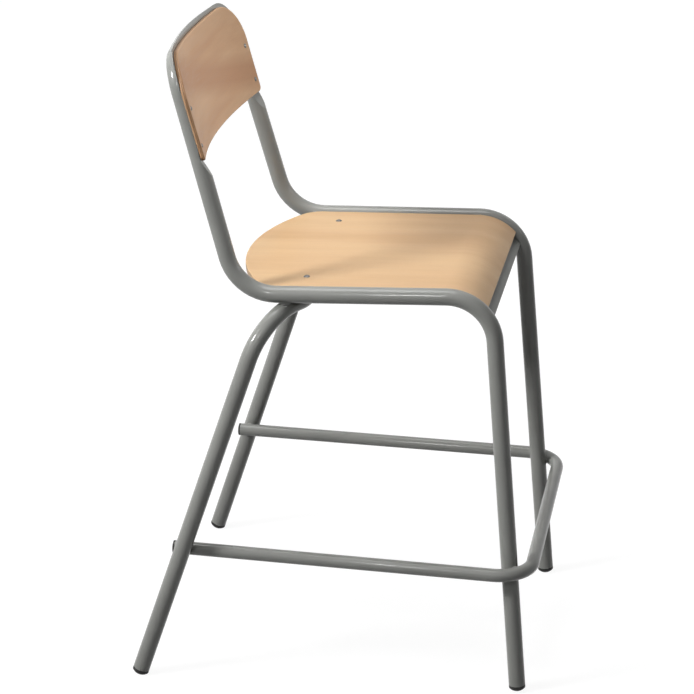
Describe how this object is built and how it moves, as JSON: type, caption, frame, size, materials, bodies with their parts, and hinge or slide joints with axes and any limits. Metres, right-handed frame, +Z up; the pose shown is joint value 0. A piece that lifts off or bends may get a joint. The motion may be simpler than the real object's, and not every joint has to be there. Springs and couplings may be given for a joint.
{
  "type": "counter chair",
  "caption": "Tall bent-tube counter chair in grey paint with a plywood seat and back and a tube footrest.",
  "frame": {"origin": "on the floor under the middle of the chair's bounding box", "axes": "+X forward, the way the sitter faces; +Y to the sitter's left; +Z up"},
  "size_m": [0.606, 0.5584, 0.9475],
  "materials": {
    "grey_paint": "gloss",
    "seat_plywood": "satin",
    "back_plywood": "satin",
    "rivet_steel": "satin",
    "black_plastic": "matte"
  },
  "bodies": {
    "root": {"frame_tube": "grey_paint", "rear_leg_tube": "grey_paint", "footrest_tube": "grey_paint", "front_crossbar": "grey_paint", "seat_panel": "seat_plywood", "back_panel": "back_plywood", "seat_rivets": "rivet_steel", "seat_spacers": "grey_paint", "back_rivets": "rivet_steel", "front_left_foot_plug": "black_plastic", "rear_left_foot_plug": "black_plastic", "footrest_left_end_plug": "black_plastic", "rear_leg_left_weld": "grey_paint", "footrest_front_left_weld": "grey_paint", "footrest_rear_left_weld": "grey_paint", "crossbar_left_weld": "grey_paint", "front_right_foot_plug": "black_plastic", "rear_right_foot_plug": "black_plastic", "footrest_right_end_plug": "black_plastic", "rear_leg_right_weld": "grey_paint", "footrest_front_right_weld": "grey_paint", "footrest_rear_right_weld": "grey_paint", "crossbar_right_weld": "grey_paint"}
  },
  "joints": []
}
